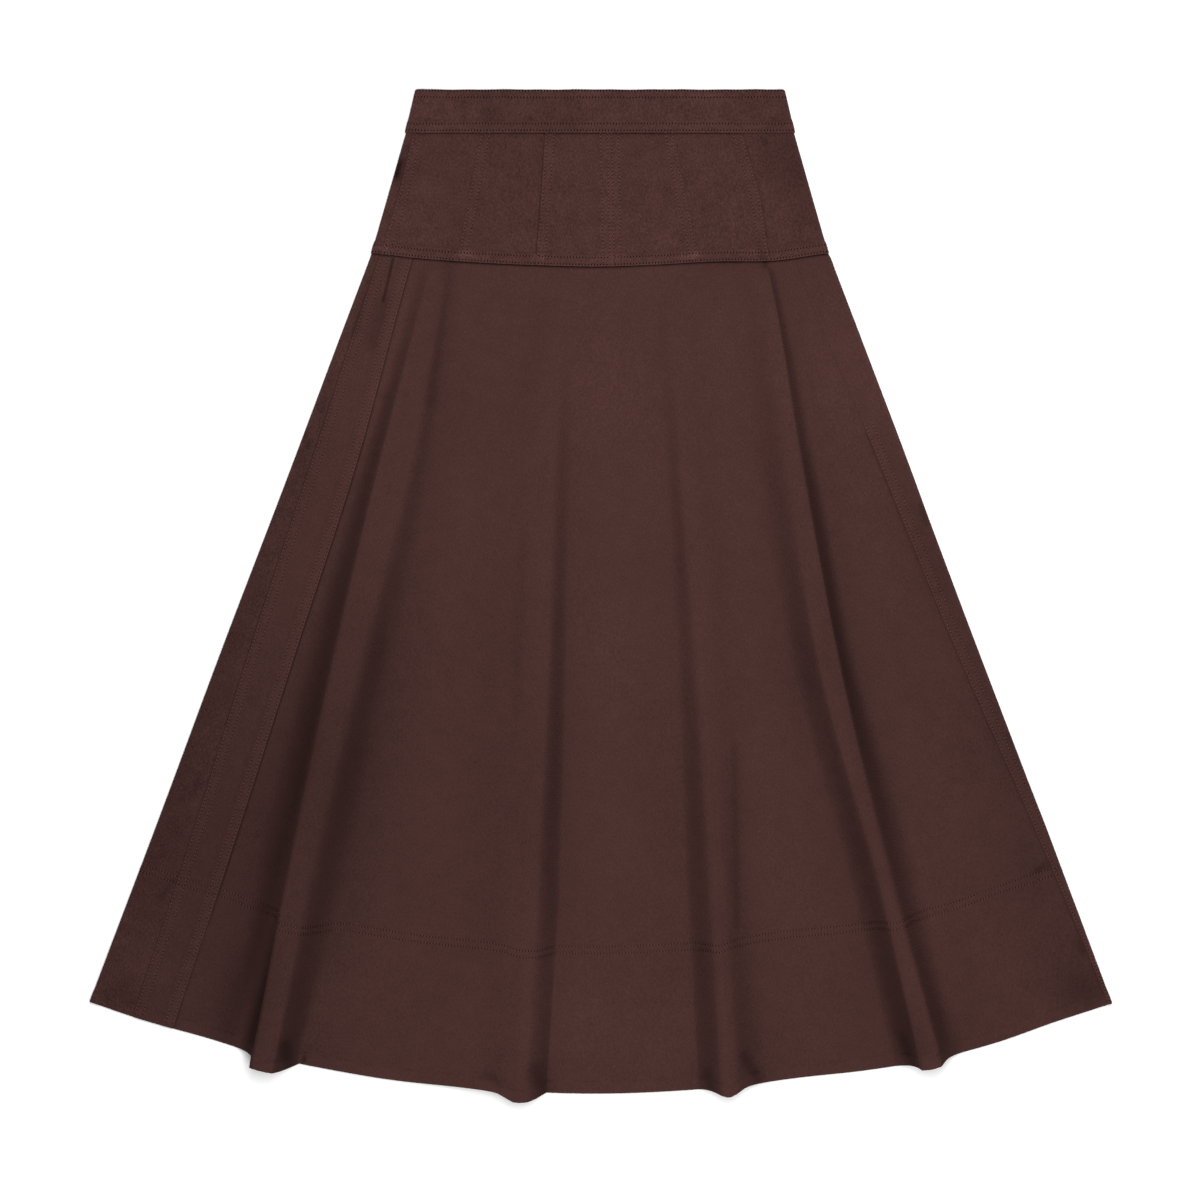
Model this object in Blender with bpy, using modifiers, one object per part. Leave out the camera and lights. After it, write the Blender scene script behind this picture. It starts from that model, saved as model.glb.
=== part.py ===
"""A yoke skirt laid flat on its back, front face up.

One flattened tube of thin walls: a waistband, twelve yoke gores, a front panel that falls in four
flutes, a plain back panel, and a narrow strip at each side. A place on the tube is given by two numbers.
around runs from -1 at the left edge over 0 at the centre front to 1 at the right edge, and on under the
skirt to 2 at the centre back and 3 at the left edge again. down is the depth below the waist edge.
Metres, front face towards +Z, waist towards +Y.
"""
import math

import bmesh
import bpy

MM = 0.001

# Cloth and layers
CLOTH = 1.2 * MM
BAND_CLOTH = 1.8 * MM
SEAM_GAP = 0.3 * MM
FRONT_TOP = 2 * CLOTH + SEAM_GAP
YOKE_RISE = 0.7 * MM
STRIP_RISE = 0.7 * MM
BAND_RISE = 1.2 * MM

# Side folds: outer radius, and the width over which the front wall settles down beside the fold
FOLD_RADIUS = 2.2 * MM
FOLD_ROLL = 12 * MM

# Outline: the tube's half width at the waist, and three straight flares below it
LENGTH = 908.5 * MM
WAIST_HALF = 165.3 * MM
BAND_DEPTH = 39 * MM
YOKE_SIDE_DOWN = 147.6 * MM
FLARES = (
    {"section": "waistband", "from": 0.0, "slope": 0.233},
    {"section": "yoke", "from": BAND_DEPTH, "slope": 0.2857},
    {"section": "skirt", "from": YOKE_SIDE_DOWN, "slope": 0.3771},
)
SKIRT_SLOPE = FLARES[-1]["slope"]
WAIST_Y = LENGTH / 2

# Depth of the yoke's lower edge, at equal steps from the left edge to the right edge
YOKE_EDGE_DOWN_MM = (147.6, 152.4, 155.9, 158.2, 159.3, 157.4, 154.6, 154.0, 147.6)

# Radius of the hem about the point where the skirt's side edges meet, at equal steps from left to right
HEM_RADIUS_MM = (1301.0, 1300.4, 1299.0, 1301.5, 1301.2, 1301.1, 1299.4, 1300.0, 1300.0,
                 1299.4, 1298.8, 1298.1, 1301.4, 1304.0, 1303.9, 1301.5, 1302.6)

# How much shorter the back hem lies, and how far under the skirt it takes to get there
BACK_HEM_SHORT = 4 * MM
BACK_HEM_EASE = 0.1

# Front yoke seams: place around the tube at the waistband, half way and at the lower edge
YOKE_FRONT_SEAMS = (
    {"seam": "left side", "around": (-0.962, -0.953, -0.958)},
    {"seam": "left outer", "around": (-0.616, -0.620, -0.6215)},
    {"seam": "left inner", "around": (-0.2826, -0.278, -0.2775)},
    {"seam": "centre", "around": (0.049, 0.051, 0.052)},
    {"seam": "right inner", "around": (0.383, 0.406, 0.432)},
    {"seam": "right outer", "around": (0.734, 0.753, 0.736)},
    {"seam": "right side", "around": (1.085, 1.085, 1.085)},
)
YOKE_GORES = 6

# Skirt seams: place around the tube at five equal steps from the yoke to the hem
SKIRT_SEAMS = {
    "left strip outer": (-0.960, -0.943, -0.929, -0.9125, -0.906),
    "left strip inner": (-0.815, -0.792, -0.803, -0.811, -0.8205),
    "right strip inner": (0.846, 0.905, 0.939, 0.975, 0.9935),
    "right strip outer": (1.017, 1.030, 1.048, 1.068, 1.087),
}

# Flutes of the front panel. Feet and brows of both flanks in degrees from the centre line, height and
# lean of the crest in mm, all at five equal steps from the yoke to the hem. Bends: softness of foot and
# brow at the yoke and at the hem, 1 is sharp. reach: mm drawn out at the hem; its bends pull it in to the
# crest, left and right.
FLUTES = (
    {"flute": "left",
     "left foot": (-16.4, -16.35, -16.4, -16.1, -14.8), "left brow": (-15.2, -15.05, -14.6, -14.05, -13.55),
     "right brow": (-14.0, -13.3, -13.4, -13.2, -12.65), "right foot": (-12.4, -11.1, -11.1, -11.3, -12.0),
     "height": (3, 11.5, 19, 23, 25), "lean": (0, 0, -1, -3, -6),
     "left bend": ((1.8, 1.6), (2.2, 1.0)), "right bend": ((3.0, 3.0), (2.0, 1.6)),
     "reach": 10, "reach bend": (12, 0.5)},
    {"flute": "centre left",
     "left foot": (-6.0, -8.5, -8.5, -8.5, -8.5), "left brow": (-3.9, -4.1, -4.0, -3.8, -3.45),
     "right brow": (-3.6, -3.3, -3.05, -3.05, -3.0), "right foot": (-1.7, -1.95, -1.85, -1.85, -2.1),
     "height": (1.5, 7, 12.5, 16, 18), "lean": (0, 0, 1, 1.5, 0),
     "left bend": ((2.0, 2.0), (2.4, 1.6)), "right bend": ((2.0, 2.0), (1.1, 1.6)),
     "reach": 7.5, "reach bend": (14, 1)},
    {"flute": "centre right",
     "left foot": (4.4, 4.55, 4.3, 4.0, 3.9), "left brow": (6.0, 5.7, 5.45, 5.15, 4.85),
     "right brow": (6.4, 6.1, 5.9, 5.5, 5.3), "right foot": (9.0, 9.0, 8.8, 7.6, 7.2),
     "height": (1, 5, 9, 14.5, 19), "lean": (0, 0, 0, 0, 0),
     "left bend": ((2.0, 2.0), (1.3, 1.3)), "right bend": ((2.0, 2.0), (2.6, 1.7)),
     "reach": 5.5, "reach bend": (2.2, 4.5)},
    {"flute": "right",
     "left foot": (11.5, 10.5, 10.6, 11.3, 11.7), "left brow": (14.4, 13.0, 12.1, 12.55, 12.5),
     "right brow": (15.15, 13.85, 13.15, 13.1, 13.3), "right foot": (15.9, 15.1, 14.4, 14.9, 14.8),
     "height": (3.5, 12, 18, 22, 24), "lean": (0, 0, 1, 2, 4),
     "left bend": ((2.0, 2.0), (1.8, 1.2)), "right bend": ((2.2, 1.3), (2.4, 1.4)),
     "reach": 4.5, "reach bend": (3.5, 3)},
)
FLUTE_EDGES = ("left foot", "left brow", "right brow", "right foot")
FLUTE_START = 14 * MM
REACH_POWER = 3

# Faces along each piece
SKIRT_ROWS = 16
YOKE_ROWS = 4
BAND_ROWS = 2
FOLD_STEPS = 6
FLANK_STEPS = 6
CREST_STEPS = 2
FLUTE_STEPS = 2 * FLANK_STEPS + CREST_STEPS

# Columns of the front panel's flat stretches, from its left seam over each gap to its right seam
FRONT_FLATS = (3, 4, 8, 4, 6, 2)

# Cloth colours, linear
BROWN = (0.0500, 0.0201, 0.0180, 1.0)
BROWN_BAND = (0.0520, 0.0210, 0.0188, 1.0)


def half_width(down):
    """Half the laid width at a depth below the waist edge."""
    half = WAIST_HALF
    for flare, following in zip(FLARES, FLARES[1:] + (None,)):
        end = following["from"] if following and down > following["from"] else down
        half += flare["slope"] * (end - flare["from"])
        if end == down:
            break
    return half


YOKE_SIDE_HALF = half_width(YOKE_SIDE_DOWN)
APEX_ABOVE = YOKE_SIDE_HALF / SKIRT_SLOPE - YOKE_SIDE_DOWN


def smooth(t):
    """Eased step from 0 to 1."""
    t = min(max(t, 0.0), 1.0)
    return t * t * (3 - 2 * t)


def along(stations, t):
    """Value at t, 0 to 1, of a smooth curve through equally spaced stations."""
    steps = len(stations) - 1
    t = min(max(t, 0.0), 1.0) * steps
    first = min(int(t), steps - 1)
    t -= first
    before = stations[max(first - 1, 0)]
    start = stations[first]
    end = stations[first + 1]
    after = stations[min(first + 2, steps)]
    pull = (end - before) / 2
    push = (after - start) / 2
    return (start * (2 * t**3 - 3 * t**2 + 1) + end * (3 * t**2 - 2 * t**3)
            + pull * (t**3 - 2 * t**2 + t) + push * (t**3 - t**2))


def unwrap(around):
    """Side the place is on, front True or back False, and its share of the half width, -1 to 1."""
    around = (around + 1) % 4 - 1
    if around <= 1:
        return True, around
    return False, 2 - around


def laid(around, down, rise=0.0):
    """Point of the outer face of the flattened tube, raised on the front by rise."""
    front, share = unwrap(around)
    half = half_width(down)
    side = math.copysign(1, share)
    inset = (1 - abs(share)) * half
    if inset < FOLD_RADIUS:
        turn = math.pi / 2 * (1 - inset / FOLD_RADIUS if front else 1 + inset / FOLD_RADIUS)
        radius = FOLD_RADIUS + rise * (1 + math.cos(turn)) / 2
        x = side * (half - FOLD_RADIUS + radius * math.sin(turn))
        z = FOLD_RADIUS + radius * math.cos(turn)
    else:
        x = side * (half - inset)
        roll = (2 * FOLD_RADIUS - FRONT_TOP) * (1 - smooth((inset - FOLD_RADIUS) / FOLD_ROLL))
        z = FRONT_TOP + roll + rise if front else 0.0
    return x, WAIST_Y - down, z


def yoke_edge_down(around):
    """Depth of the yoke's lower edge."""
    return along(YOKE_EDGE_DOWN_MM, (unwrap(around)[1] + 1) / 2) * MM


def hem_radius(around):
    """Radius of the hem about the skirt's apex, eased shorter on the back."""
    front, share = unwrap(around)
    radius = along(HEM_RADIUS_MM, (share + 1) / 2) * MM
    if not front:
        radius -= BACK_HEM_SHORT * smooth((1 - abs(share)) / BACK_HEM_EASE)
    return radius


def hem_down(around):
    """Depth of the hem."""
    angle = math.atan(unwrap(around)[1] * SKIRT_SLOPE)
    return hem_radius(around) * math.cos(angle) - APEX_ABOVE


def skirt_down(around, v):
    """Depth at share v of the way from just below the yoke to the hem."""
    top = yoke_edge_down(around) + SEAM_GAP
    return top + (hem_down(around) - top) * v


def seam(name, v):
    """Place of a skirt seam at share v of the way down."""
    return along(SKIRT_SEAMS[name], v)


def spaced(knots, counts):
    """Places across a piece: each span between two knots is cut into its count of equal steps."""
    places = [knots[0]]
    for start, end, count in zip(knots, knots[1:], counts):
        places += [start + (end - start) * (step + 1) / count for step in range(count)]
    return places


def flute_edges(flute, v):
    """Places around the tube of a flute's feet and brows."""
    return [math.tan(math.radians(along(flute[edge], v))) / SKIRT_SLOPE for edge in FLUTE_EDGES]


def skirt_radius(around, v):
    """Distance from the skirt's apex at share v of the way down."""
    angle = math.atan(unwrap(around)[1] * SKIRT_SLOPE)
    return (skirt_down(around, v) + APEX_ABOVE) / math.cos(angle)


def flank(t, bends, v):
    """Height share at t, 0 at the foot to 1 at the brow of one flank."""
    foot = bends[0][0] + (bends[1][0] - bends[0][0]) * v
    brow = bends[0][1] + (bends[1][1] - bends[0][1]) * v
    return 1 - (1 - t**foot) ** brow


def section(flute, column, v):
    """Height share of a flute at one of its columns, counted from the left foot."""
    if column < FLANK_STEPS:
        return flank(column / FLANK_STEPS, flute["left bend"], v)
    if column <= FLANK_STEPS + CREST_STEPS:
        return 1.0
    return flank((FLUTE_STEPS - column) / FLANK_STEPS, flute["right bend"], v)


def fluted(flute, column, around, v):
    """Point of a flute: the flat place lifted, leaned to one side and drawn out at the hem."""
    radius = skirt_radius(around, v)
    share = section(flute, column, v) * smooth((radius - skirt_radius(around, 0)) / FLUTE_START)
    angle = math.atan(around * SKIRT_SLOPE) + along(flute["lean"], v) * MM * share / radius
    drawn = share ** flute["reach bend"][0 if column < FLANK_STEPS else 1]
    radius += flute["reach"] * MM * drawn * v**REACH_POWER
    z = FRONT_TOP + along(flute["height"], v) * MM * share
    return radius * math.sin(angle), WAIST_Y + APEX_ABOVE - radius * math.cos(angle), z


def cloth_material(name, colour):
    """Matte brown cloth."""
    material = bpy.data.materials.new(name)
    material.use_nodes = True
    shader = material.node_tree.nodes["Principled BSDF"]
    shader.inputs["Base Color"].default_value = colour
    shader.inputs["Roughness"].default_value = 0.9
    shader.inputs["Metallic"].default_value = 0.0
    return material


def sew(name, collection, columns, rows, place, wall, colour):
    """One cut piece: a grid laid by place(column, row), thickened inwards to its wall."""
    grid = bmesh.new()
    bmesh.ops.create_grid(grid, x_segments=columns, y_segments=rows, size=0.5)
    for vert in grid.verts:
        vert.co = place(round((vert.co.x + 0.5) * columns), round((0.5 - vert.co.y) * rows))
    mesh = bpy.data.meshes.new(name)
    grid.to_mesh(mesh)
    grid.free()
    mesh.shade_smooth()
    mesh.materials.append(cloth_material(name, colour))
    piece = bpy.data.objects.new(name, mesh)
    collection.objects.link(piece)
    solidify = piece.modifiers.new("wall", "SOLIDIFY")
    solidify.thickness = wall
    solidify.offset = -1
    solidify.use_even_offset = True
    return piece


def waistband(collection):
    """One long strip round the waist, its ends meeting just under the left edge."""
    counts = (1, FOLD_STEPS, 2, 12, 2, FOLD_STEPS, 12)
    tuck = FOLD_RADIUS + 4 * MM

    def place(column, row):
        down = (BAND_DEPTH - SEAM_GAP / 2) * row / BAND_ROWS
        half = half_width(down)
        fold = FOLD_RADIUS / half
        roll = (FOLD_RADIUS + FOLD_ROLL) / half
        knots = (-1 - tuck / half, -1 - fold, -1 + fold, -1 + roll, 1 - roll, 1 - fold, 1 + fold,
                 3 - (tuck + SEAM_GAP) / half)
        return laid(spaced(knots, counts)[column], down, BAND_RISE)

    sew("waistband", collection, sum(counts), BAND_ROWS, place, BAND_CLOTH, BROWN_BAND)


def yoke_gore(name, collection, left, right, bends, counts):
    """One gore between two seams, each given at three depths; bends(half) are its knots between them."""

    def place(column, row):
        v = row / YOKE_ROWS
        top = BAND_DEPTH + SEAM_GAP / 2
        half = half_width(top + (YOKE_SIDE_DOWN - top) * v)
        shy = SEAM_GAP / 2 / half
        knots = (along(left, v) + shy, *bends(half), along(right, v) - shy)
        around = spaced(knots, counts)[column]
        down = top + (yoke_edge_down(around) - top) * v
        return laid(around, down, YOKE_RISE)

    sew(name, collection, sum(counts), YOKE_ROWS, place, CLOTH, BROWN)


def yoke(collection):
    """Six gores on the front and six on the back; the side ones turn under at the side folds."""
    fronts = [entry["around"] for entry in YOKE_FRONT_SEAMS]
    last = fronts[0]
    start = fronts[-1]
    backs = [tuple(low + (high + 4 - low) * gore / YOKE_GORES for low, high in zip(start, last))
             for gore in range(YOKE_GORES + 1)]

    def none(half):
        return ()

    def left_roll(half):
        return (-1 + (FOLD_RADIUS + FOLD_ROLL) / half,)

    def right_fold(half):
        return (1 - (FOLD_RADIUS + FOLD_ROLL) / half, 1 - FOLD_RADIUS / half, 1 + FOLD_RADIUS / half)

    def left_fold(half):
        return (3 - FOLD_RADIUS / half, 3 + FOLD_RADIUS / half)

    front_bends = {0: (left_roll, (1, 4)), YOKE_GORES - 1: (right_fold, (3, 2, FOLD_STEPS, 2))}
    back_bends = {YOKE_GORES - 1: (left_fold, (4, FOLD_STEPS, 2))}
    for face, seams, special in (("front", fronts, front_bends), ("back", backs, back_bends)):
        for gore in range(YOKE_GORES):
            bends, counts = special.get(gore, (none, (4,)))
            yoke_gore(f"yoke_{face}_{gore + 1}", collection, seams[gore], seams[gore + 1], bends, counts)


def skirt_piece(name, collection, counts, knots_at, rise):
    """One unfluted skirt piece; knots_at(v, half) gives its places across at share v of the way down."""

    def place(column, row):
        v = row / SKIRT_ROWS
        half = half_width(skirt_down(1, v))
        around = spaced(knots_at(v, half), counts)[column]
        return laid(around, skirt_down(around, v), rise)

    sew(name, collection, sum(counts), SKIRT_ROWS, place, CLOTH, BROWN)


def left_strip(collection):
    """Narrow strip that lies on the front beside the left edge."""

    def knots_at(v, half):
        shy = SEAM_GAP / 2 / half
        return seam("left strip outer", v) + shy, seam("left strip inner", v) - shy

    skirt_piece("left_strip", collection, (4,), knots_at, STRIP_RISE)


def right_strip(collection):
    """Narrow strip that turns under at the right edge."""

    def knots_at(v, half):
        shy = SEAM_GAP / 2 / half
        fold = FOLD_RADIUS / half
        return seam("right strip inner", v) + shy, 1 - fold, 1 + fold, seam("right strip outer", v) - shy

    skirt_piece("right_strip", collection, (2, FOLD_STEPS, 2), knots_at, STRIP_RISE)


def skirt_back(collection):
    """Plain flat panel, coming round the left edge to the left strip."""

    def knots_at(v, half):
        shy = SEAM_GAP / 2 / half
        fold = FOLD_RADIUS / half
        return seam("right strip outer", v) + shy, 3 - fold, 3 + fold, 4 + seam("left strip outer", v) - shy

    skirt_piece("skirt_back", collection, (28, FOLD_STEPS, 2), knots_at, 0.0)


def skirt_front(collection):
    """Front panel between the strips, flat between its four flutes."""
    counts = (FRONT_FLATS[0],)
    first_columns = []
    for flat in FRONT_FLATS[1:5]:
        first_columns.append(sum(counts))
        counts += (FLANK_STEPS, CREST_STEPS, FLANK_STEPS, flat)
    counts += (FRONT_FLATS[5],)

    def place(column, row):
        v = row / SKIRT_ROWS
        half = half_width(skirt_down(1, v))
        shy = SEAM_GAP / 2 / half
        last = seam("right strip inner", v) - shy
        knots = [seam("left strip inner", v) + shy]
        for flute in FLUTES:
            knots += flute_edges(flute, v)
        knots += [min(last - 0.02, 1 - (FOLD_RADIUS + FOLD_ROLL) / half), last]
        around = spaced(knots, counts)[column]
        for flute, first in zip(FLUTES, first_columns):
            if first <= column <= first + FLUTE_STEPS:
                return fluted(flute, column - first, around, v)
        return laid(around, skirt_down(around, v))

    sew("skirt_front", collection, sum(counts), SKIRT_ROWS, place, CLOTH, BROWN)


def build():
    """Clear the scene and lay the skirt out."""
    for item in list(bpy.data.objects):
        bpy.data.objects.remove(item)
    collection = bpy.data.collections.new("yoke_skirt")
    bpy.context.scene.collection.children.link(collection)
    waistband(collection)
    yoke(collection)
    skirt_front(collection)
    skirt_back(collection)
    left_strip(collection)
    right_strip(collection)


build()
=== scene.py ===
"""Looks of the yoke skirt: fine cloth shells, sewing and twill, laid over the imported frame.

A place on the flattened tube is given by two numbers. around runs from -1 at the left edge over 0 at the
centre front to 1 at the right edge, and on under the skirt to 2 at the centre back and 3 at the left edge
again. down is the depth below the waist edge, and v is the share of the way down one piece.
"""
import math
from collections import namedtuple

import bmesh
import bpy
import numpy as np
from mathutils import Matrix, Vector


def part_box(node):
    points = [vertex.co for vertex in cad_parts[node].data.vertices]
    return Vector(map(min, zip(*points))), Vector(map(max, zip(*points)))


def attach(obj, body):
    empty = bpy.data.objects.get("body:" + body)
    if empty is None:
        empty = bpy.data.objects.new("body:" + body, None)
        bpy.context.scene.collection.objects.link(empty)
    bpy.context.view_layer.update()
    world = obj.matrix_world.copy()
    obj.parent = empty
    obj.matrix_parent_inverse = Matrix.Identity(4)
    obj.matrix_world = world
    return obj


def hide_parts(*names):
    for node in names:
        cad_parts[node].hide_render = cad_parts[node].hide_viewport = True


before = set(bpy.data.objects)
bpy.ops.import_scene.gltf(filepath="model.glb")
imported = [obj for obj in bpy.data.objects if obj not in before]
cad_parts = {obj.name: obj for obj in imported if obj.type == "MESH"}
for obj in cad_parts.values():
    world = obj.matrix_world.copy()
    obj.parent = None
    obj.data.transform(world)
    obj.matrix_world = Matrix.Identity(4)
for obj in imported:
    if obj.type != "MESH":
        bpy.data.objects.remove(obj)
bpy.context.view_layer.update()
BAND_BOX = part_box("waistband")

MM = 0.001

# Outline, as the solids have it
WAIST_Y = BAND_BOX[1][1]
WAIST_HALF = 165.3 * MM
BAND_DEPTH = 39 * MM
YOKE_SIDE_DOWN = 147.6 * MM
BAND_SLOPE = 0.233
YOKE_SLOPE = 0.2857
SKIRT_SLOPE = 0.3771
FOLD_RADIUS = 2.2 * MM
FOLD_ROLL = 12 * MM
FRONT_TOP = 2.7 * MM
BAND_RISE = 1.4 * MM
YOKE_RISE = 0.7 * MM
STRIP_RISE = 0.6 * MM
YOKE_EDGE_DOWN_MM = (147.6, 152.4, 155.9, 158.2, 159.3, 157.4, 154.6, 154.0, 147.6)
HEM_RADIUS_MM = (1301.0, 1300.4, 1299.0, 1301.5, 1301.2, 1301.1, 1299.4, 1300.0, 1300.0,
                 1299.4, 1298.8, 1298.1, 1301.4, 1304.0, 1303.9, 1301.5, 1302.6)
BACK_HEM_SHORT = 4 * MM
BACK_HEM_EASE = 0.1

# Yoke seams on the front. around: place around the tube at the band, half way and at the lower edge.
# sewn: sides of the seam that are topstitched. line: how dark the painted shadow line of the seam's tucked
# edge is.
Seam = namedtuple("Seam", "name around sewn line")
YOKE_FRONT_SEAMS = [Seam(*row) for row in (
    ("left side", (-0.962, -0.953, -0.958), ("right",), 0.15),
    ("left outer", (-0.616, -0.620, -0.6215), ("right",), 0.03),
    ("left inner", (-0.2826, -0.278, -0.2775), ("right",), 0.5),
    ("centre", (0.049, 0.051, 0.052), ("left", "right"), 0.0),
    ("right inner", (0.383, 0.406, 0.432), ("left",), 0.1),
    ("right outer", (0.734, 0.753, 0.736), ("left",), 0.4),
    ("right side", (1.085, 1.085, 1.085), ("left",), 0.2),
)]
YOKE_GORES = 6
# Topstitched sides of the back's five inner yoke seams
BACK_SEWN = (("left",), ("left",), ("left", "right"), ("right",), ("right",))

# Skirt seams: place around the tube at five equal steps from the yoke to the hem
SKIRT_SEAMS = {
    "left strip outer": (-0.960, -0.943, -0.929, -0.9125, -0.906),
    "left strip inner": (-0.815, -0.792, -0.803, -0.811, -0.8205),
    "right strip inner": (0.846, 0.905, 0.939, 0.975, 0.9935),
    "right strip outer": (1.017, 1.030, 1.048, 1.068, 1.087),
}

# Flutes. Feet and brows of both flanks in degrees from the centre line, height and lean of the crest in
# mm, all at five equal steps from the yoke to the hem. Bends: softness of foot and brow at the yoke and at
# the hem, 1 is sharp. reach: mm drawn out at the hem; its bends pull it in to the crest, left and right.
FLUTES = (
    {"flute": "left",
     "left foot": (-16.4, -16.35, -16.4, -16.1, -14.8), "left brow": (-15.2, -15.05, -14.6, -14.05, -13.55),
     "right brow": (-14.0, -13.3, -13.4, -13.2, -12.65), "right foot": (-12.4, -11.1, -11.1, -11.3, -12.0),
     "height": (3, 11.5, 19, 23, 25), "lean": (0, 0, -1, -3, -6),
     "left bend": ((1.8, 1.6), (2.2, 1.0)), "right bend": ((3.0, 3.0), (2.0, 1.6)),
     "reach": 10, "reach bend": (12, 0.5)},
    {"flute": "centre left",
     "left foot": (-6.0, -8.5, -8.5, -8.5, -8.5), "left brow": (-3.9, -4.1, -4.0, -3.8, -3.45),
     "right brow": (-3.6, -3.3, -3.05, -3.05, -3.0), "right foot": (-1.7, -1.95, -1.85, -1.85, -2.1),
     "height": (1.5, 7, 12.5, 16, 18), "lean": (0, 0, 1, 1.5, 0),
     "left bend": ((2.0, 2.0), (2.4, 1.6)), "right bend": ((2.0, 2.0), (1.1, 1.6)),
     "reach": 7.5, "reach bend": (14, 1)},
    {"flute": "centre right",
     "left foot": (4.4, 4.55, 4.3, 4.0, 3.9), "left brow": (6.0, 5.7, 5.45, 5.15, 4.85),
     "right brow": (6.4, 6.1, 5.9, 5.5, 5.3), "right foot": (9.0, 9.0, 8.8, 7.6, 7.2),
     "height": (1, 5, 9, 14.5, 19), "lean": (0, 0, 0, 0, 0),
     "left bend": ((2.0, 2.0), (1.3, 1.3)), "right bend": ((2.0, 2.0), (2.6, 1.7)),
     "reach": 5.5, "reach bend": (2.2, 4.5)},
    {"flute": "right",
     "left foot": (11.5, 10.5, 10.6, 11.3, 11.7), "left brow": (14.4, 13.0, 12.1, 12.55, 12.5),
     "right brow": (15.15, 13.85, 13.15, 13.1, 13.3), "right foot": (15.9, 15.1, 14.4, 14.9, 14.8),
     "height": (3.5, 12, 18, 22, 24), "lean": (0, 0, 1, 2, 4),
     "left bend": ((2.0, 2.0), (1.8, 1.2)), "right bend": ((2.2, 1.3), (2.4, 1.4)),
     "reach": 4.5, "reach bend": (3.5, 3)},
)
FLUTE_START = 14 * MM
CREST_SWELL = 0.05
REACH_POWER = 3
# Painted shade on flanks and in hollows: columns looked over for what stands above, and strength
FOLD_SHADE_REACH = 22
FOLD_SHADE_DEPTH = 1.15
FOLD_SHADE_LEAST_STEP = 0.5 * MM
FOLD_SHADE_POWER = 0.7

# Columns of the grids
FLANK_COLUMNS = 18
CREST_COLUMNS = 6
FLAT_COLUMNS = (12, 24, 34, 16, 24)
FOLD_COLUMNS = 10
UNDER_COLUMNS = 12
SKIRT_BACK_COLUMNS = 70
GORE_UNDER_COLUMNS = 6
BAND_END_COLUMNS = 2
BAND_FRONT_COLUMNS = 110
BAND_BACK_COLUMNS = 36

# Sewing
WALL = 0.6 * MM
TUCK = 1.5 * MM
SEAM_PITCH = 3.3 * MM
ROUND_PITCH = 2.8 * MM
STITCH_SHARE = 0.62
STITCH_AHEAD = 0.4 * MM
STITCH_WIDTH = 0.9 * MM
FINE_STITCH_WIDTH = 0.65 * MM
STITCH_HEIGHT = 0.4 * MM
# Needle holes, dark caps of painted shadow: length, width and height
SEAM_HOLE = (1.3 * MM, 1.5 * MM, 1.2 * MM)
ROUND_HOLE = (1.85 * MM, 3.0 * MM, 1.5 * MM)
FACING_HOLE = (1.5 * MM, 1.8 * MM, 1.15 * MM)
TWIN_ROWS = (1.8 * MM, 8.0 * MM)
BAND_LOWER_ROWS = (2.2 * MM, 8.2 * MM)
BAND_UPPER_ROWS = (1.4 * MM, 7.2 * MM)
FACING_ROWS = (126 * MM, 132 * MM)
ROW_WIDTH = 0.7 * MM
ROW_DEPTH = 0.22 * MM
ROW_UNEVEN = 0.06 * MM
# Painted shade in the grooves of round rows and of seam rows, and on facing rows where they cross a steep
# flank
ROUND_ROW_DARK = 0.15
SEAM_ROW_DARK = 0.12
FLANK_ROW_DARK = 1.9
FLANK_ROW_DARKEST = 1.15
FLANK_ROW_WIDTH = 0.9 * MM
HEM_TURN = 11 * MM
ALLOWANCE = 10 * MM
ALLOWANCE_HOLLOW = 1.5 * MM
LAP_LIFT = 0.45 * MM
YOKE_LAP_LIFT = 0.6 * MM
LAP_SLOPE = 2.5 * MM
TUCK_DIP = 0.45 * MM
UNDER_DIP = 0.75 * MM
TUCK_SLOPE = 2.2 * MM
# The facing rows follow a flute's drawn hem by this share, right of the left flute
FACING_DRAW = 0.5
LEFT_FLUTE_END = -0.5
DRAW_FADE = 0.05
# The right strip's seam lies pressed flat and shows only from this far below the yoke
RIGHT_SEAM_SHOWS = 162 * MM
SEAM_FADE = 16 * MM
FLAT_DIP = 0.3
# How dark the painted shadow line of a tucked edge is: left and right, and along the top of each gore
FRONT_LINES = (0.6, 0.5)
BACK_LINES = (0.12, 0.12)
YOKE_TOP_LINES = (1.0, 1.0, 1.0, 1.0, 1.0, 0.3)

# Forms that are full at an edge: height there, and the width over which they end, in mm
EDGES = {
    "lap's roll": (-0.35, 1.0),
    "waist's roll": (-0.8, 1.6),
    "hem's turn": (0.3, 1.6),
    "hem's roll": (-0.45, 0.9),
}
# Forms along a line: height, and the width over which they fade on both sides, in mm
RIDGES = {
    "twin rows": (0.12, 3.4),
    "twin rows' pucker": (0.10, 3.4),
    "hem's row": (-0.12, 1.0),
    "facing rows": (0.12, 2.2),
}
# Shades along a line: how much lighter, or darker below 0, and the width over which they fade, in mm.
# Painted shadow past the allowance, beside tucked edges and under the yoke; painted shade in the hem's row;
# painted light on the hem's rounded edge. The lap's and the waist's worn edges are wear.
SHADES = {
    "lap's worn edge": (0.5, 0.9),
    "allowance": (-0.04, 1.5),
    "twin rows": (0.10, 3.4),
    "tucked edge": (-1.5, 1.1),
    "waist's worn edge": (0.4, 1.2),
    "hem's row": (-0.35, 0.9),
    "hem's turn": (0.10, 4),
    "hem's painted edge light": (0.55, 1.1),
    "under the yoke": (-1.6, 1.45),
}
# How uneven the twin rows' shade and the hem's row are, and the usual share of the hem row's painted shade
UNEVEN_ROWS = 0.8
HEM_ROW_SHADE = 0.35

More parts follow.
